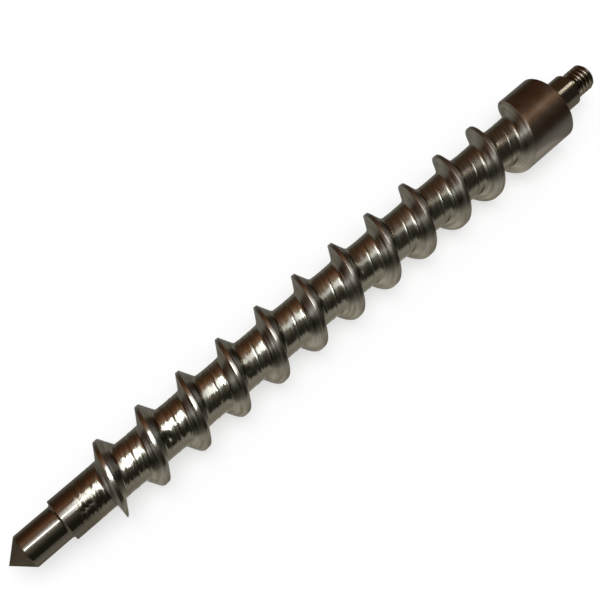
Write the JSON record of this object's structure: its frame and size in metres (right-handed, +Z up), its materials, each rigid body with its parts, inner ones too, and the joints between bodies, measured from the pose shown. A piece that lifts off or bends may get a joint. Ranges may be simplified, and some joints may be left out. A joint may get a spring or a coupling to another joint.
{
  "type": "dosing screw",
  "caption": "One-piece stainless steel dosing screw: left-hand flight with a round root, pointed journal at one end, collar, spigot and threaded stub at the drive end.",
  "frame": {"origin": "under the middle of the screw's length, on the surface that it lies on", "axes": "+X along the screw's axis, from the pointed end to the drive end; +Z up"},
  "size_m": [0.1554, 0.015, 0.015],
  "materials": {
    "steel": "polished, with fine cutter marks on the root"
  },
  "bodies": {
    "root": {"dosing_screw": "steel"}
  },
  "joints": []
}
